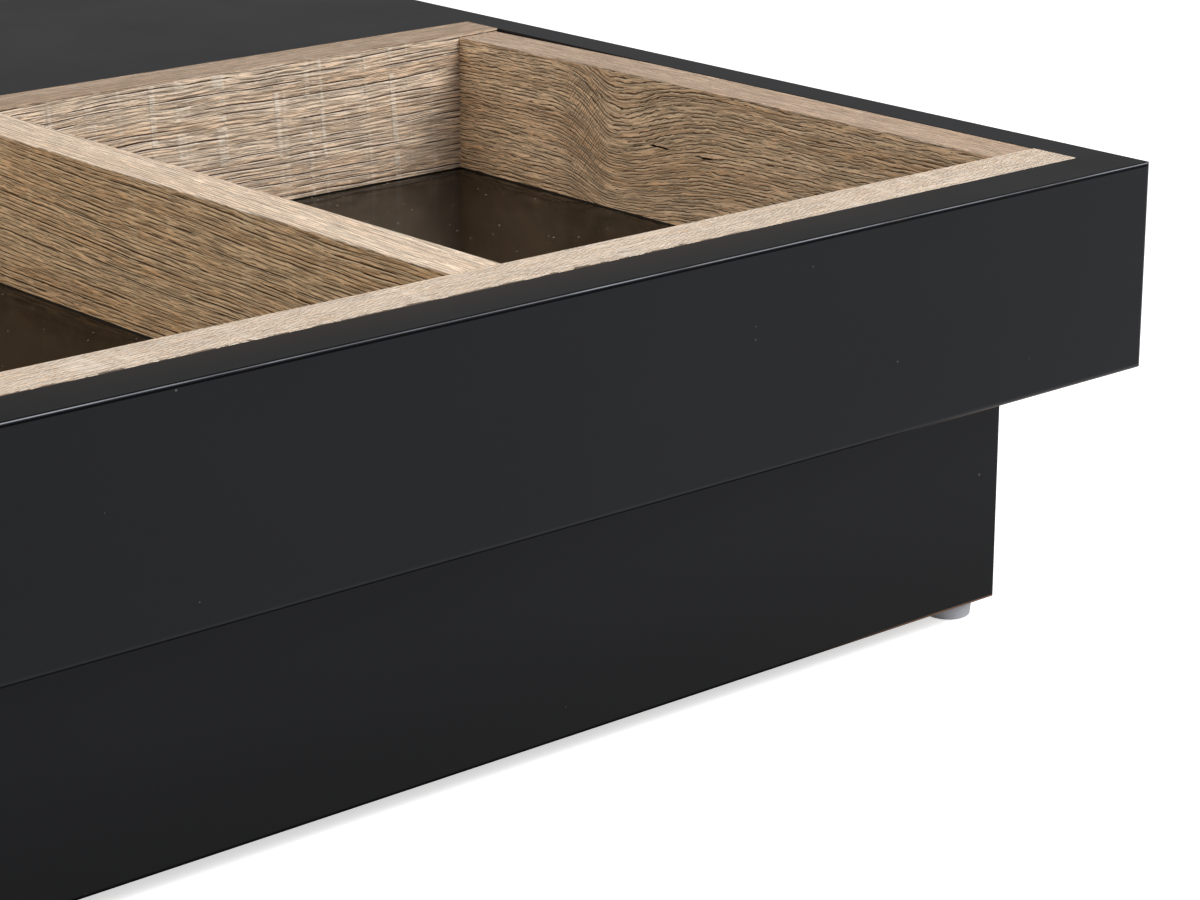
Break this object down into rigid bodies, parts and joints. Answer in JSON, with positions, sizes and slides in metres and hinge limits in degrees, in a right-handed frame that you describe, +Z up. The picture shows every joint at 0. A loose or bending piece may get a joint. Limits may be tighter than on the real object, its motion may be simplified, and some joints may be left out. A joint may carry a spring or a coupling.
{
  "type": "swivel coffee table",
  "caption": "Low rectangular coffee table: a lacquered tray box, half flat top and half oak-lined compartments, turns on a recessed plinth on a ball-bearing turntable.",
  "frame": {"origin": "on the floor, on the swivel axis, under the middle of the table", "axes": "+Z up, X along the 900 mm side, Y along the 1200 mm side with the oak-lined compartments at -Y"},
  "size_m": [0.9, 1.2, 0.282],
  "materials": {
    "lacquer": "satin black lacquer on board",
    "backing_board": "dark melamine-faced board",
    "pine": "sawn pine",
    "oak_decor": "rough-sawn pale oak decor",
    "tray_floor": "satin brown-black board",
    "beech": "fluted beech",
    "zinc_steel": "zinc plated",
    "aluminium": "turned",
    "bearing_steel": "polished",
    "nylon": "natural nylon",
    "glide_plastic": "pale grey"
  },
  "bodies": {
    "plinth": {"plinth_front": "lacquer", "plinth_back": "lacquer", "plinth_left": "lacquer", "plinth_right": "lacquer", "deck_board": "backing_board", "deck_rails": "pine", "deck_cleats": "pine", "corner_blocks": "pine", "plinth_dowels": "beech", "block_screws": "zinc_steel", "deck_screws": "zinc_steel", "glides": "glide_plastic", "glide_nails": "zinc_steel", "lower_race": "aluminium", "lower_race_screws": "zinc_steel"},
    "tray_box": {"front_wall": "lacquer", "back_wall": "lacquer", "left_wall": "lacquer", "right_wall": "lacquer", "base_board": "backing_board", "flat_top": "lacquer", "top_ribs": "backing_board", "top_cleats": "pine", "front_rail": "oak_decor", "cross_rail": "oak_decor", "left_rail": "oak_decor", "right_rail": "oak_decor", "divider": "oak_decor", "left_tray_floor": "tray_floor", "right_tray_floor": "tray_floor", "box_dowels": "beech", "base_screws": "zinc_steel", "upper_race": "aluminium", "upper_race_screws": "zinc_steel"},
    "caged_balls": {"turntable_balls": "bearing_steel", "ball_cage": "nylon"}
  },
  "joints": [
    {"name": "top_swivel", "type": "hinge", "parent": "plinth", "child": "tray_box", "pos_m": [0, 0, 0.1525], "axis": [0, 0, 1], "continuous": true},
    {"name": "cage_swivel", "type": "hinge", "parent": "plinth", "child": "caged_balls", "pos_m": [0, 0, 0.1525], "axis": [0, 0, 1], "continuous": true}
  ],
  "couplings": [
    {"joint": "cage_swivel", "follows": "top_swivel", "ratio": 0.5}
  ]
}
